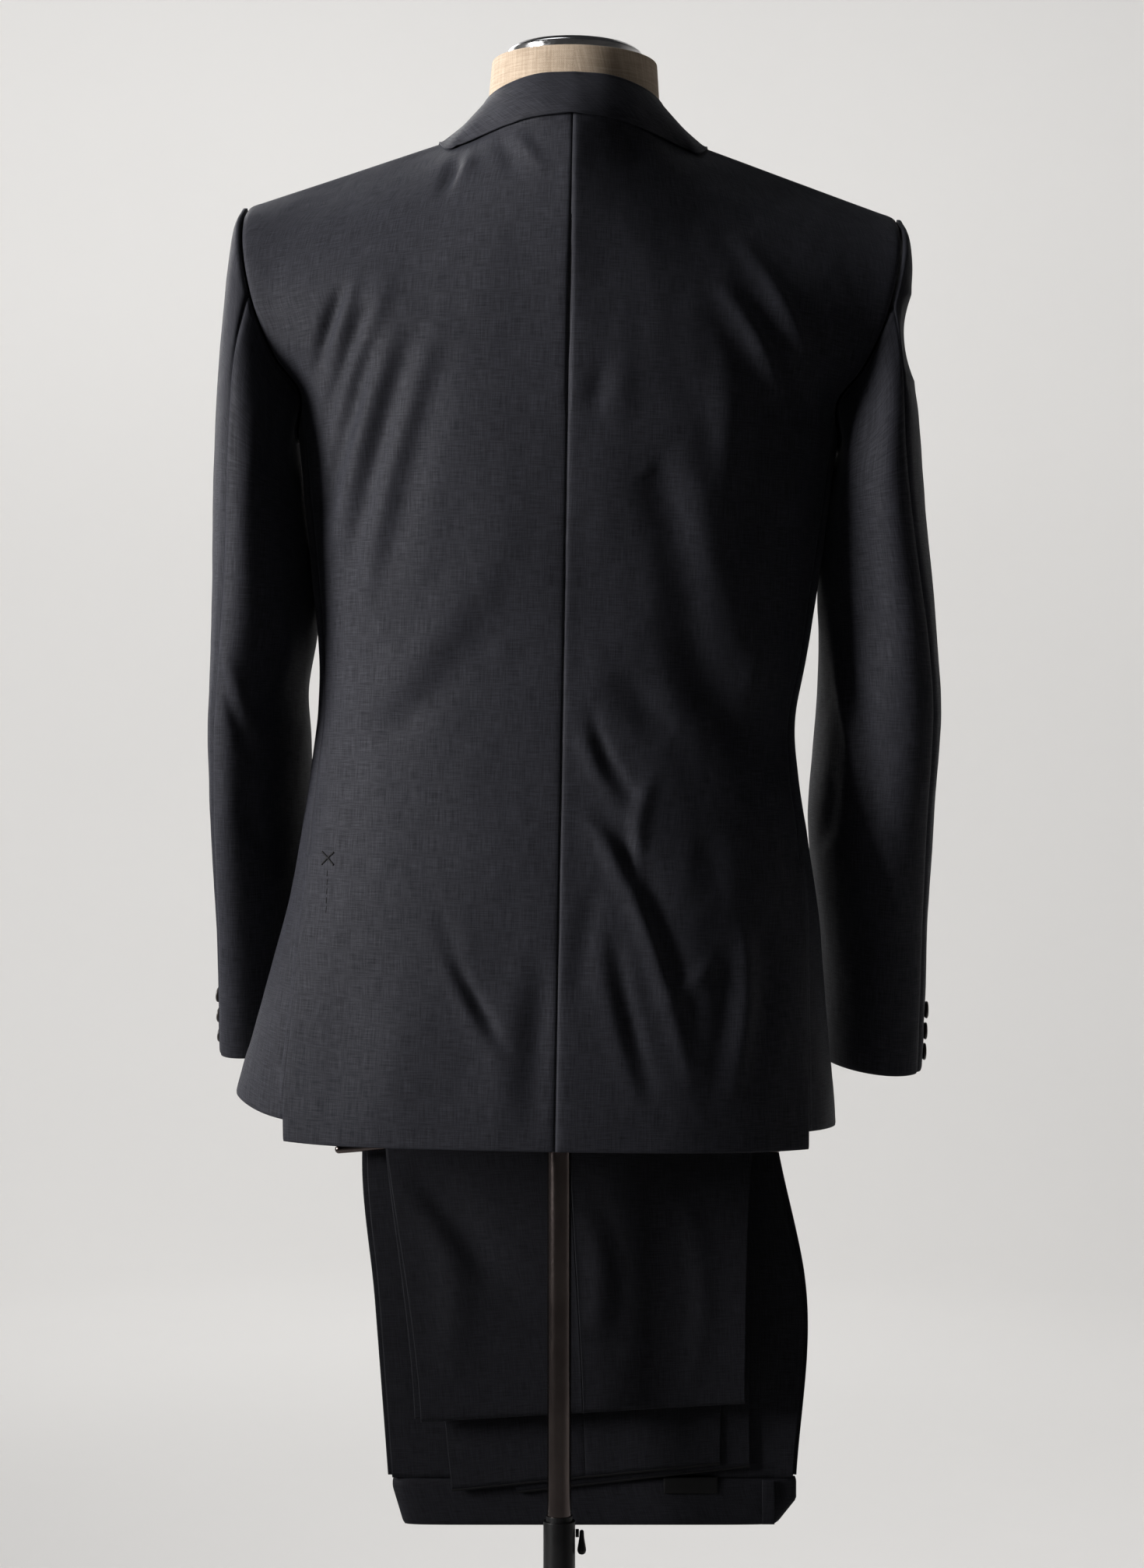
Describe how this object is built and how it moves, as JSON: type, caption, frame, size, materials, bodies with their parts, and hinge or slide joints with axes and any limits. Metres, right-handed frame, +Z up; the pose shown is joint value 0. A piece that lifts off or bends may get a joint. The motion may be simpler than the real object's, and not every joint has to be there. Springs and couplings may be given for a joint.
{
  "type": "business suit on dress form stand",
  "caption": "Dark wool business suit: a notch-lapel jacket worn by a limbless linen dress form, its trousers folded over a bar below, on a pole with a round base.",
  "frame": {"origin": "centre of the base's underside, on the pole's axis at the floor", "axes": "+Z up; the suit faces -Y, its wearer's left is +X, and its back with the side vents faces +Y"},
  "size_m": [0.575, 0.39, 1.6046],
  "materials": {
    "wool": "fine plain-weave wool with a soft sheen, near black blue-grey",
    "horn": "satin dark horn-like resin",
    "linen": "coarse natural linen over a hard form",
    "chrome": "polished",
    "bronze": "dark bronze-brown plated tube, glossy",
    "black": "satin black powder coat",
    "label": "plain black woven tape, bare"
  },
  "bodies": {
    "stand": {"stand.base": "black", "stand.pipe": "black", "stand.bushing": "black", "stand.lever_boss": "black"},
    "mast": {"jacket.back_left": "wool", "jacket.back_right": "wool", "jacket.side_left": "wool", "jacket.side_right": "wool", "jacket.front_left": "wool", "jacket.front_right": "wool", "jacket.lapel_left": "wool", "jacket.lapel_right": "wool", "jacket.top_sleeve_left": "wool", "jacket.top_sleeve_right": "wool", "jacket.under_sleeve_left": "wool", "jacket.under_sleeve_right": "wool", "jacket.collar": "wool", "jacket.collar_stand": "wool", "jacket.front_button_1": "horn", "jacket.front_button_2": "horn", "jacket.cuff_button_left_1": "horn", "jacket.cuff_button_left_2": "horn", "jacket.cuff_button_left_3": "horn", "jacket.cuff_button_right_1": "horn", "jacket.cuff_button_right_2": "horn", "jacket.cuff_button_right_3": "horn", "jacket.flap_left": "wool", "jacket.flap_right": "wool", "jacket.breast_welt": "wool", "trousers.outer_leg_front": "wool", "trousers.outer_leg_back": "wool", "trousers.inner_leg_front": "wool", "trousers.inner_leg_back": "wool", "trousers.waistband_near": "wool", "trousers.waistband_far": "wool", "trousers.belt_loop_near": "wool", "trousers.belt_loop_far_1": "wool", "trousers.belt_loop_far_2": "wool", "trousers.belt_loop_far_3": "wool", "trousers.label": "label", "form.torso": "linen", "form.neck_cap": "chrome", "form.flange": "black", "form.trouser_bar": "bronze", "form.bar_clamp": "black", "form.pole": "bronze"},
    "lever": {"stand.lever": "black"}
  },
  "joints": [
    {"name": "height", "type": "slide", "parent": "stand", "child": "mast", "axis": [0, 0, 1], "range_m": [-0.2, 0.12]},
    {"name": "lever_turn", "type": "hinge", "parent": "stand", "child": "lever", "pos_m": [-0.0176, 0, 0.444], "axis": [1, 0, 0], "range_deg": [0, 80]}
  ]
}
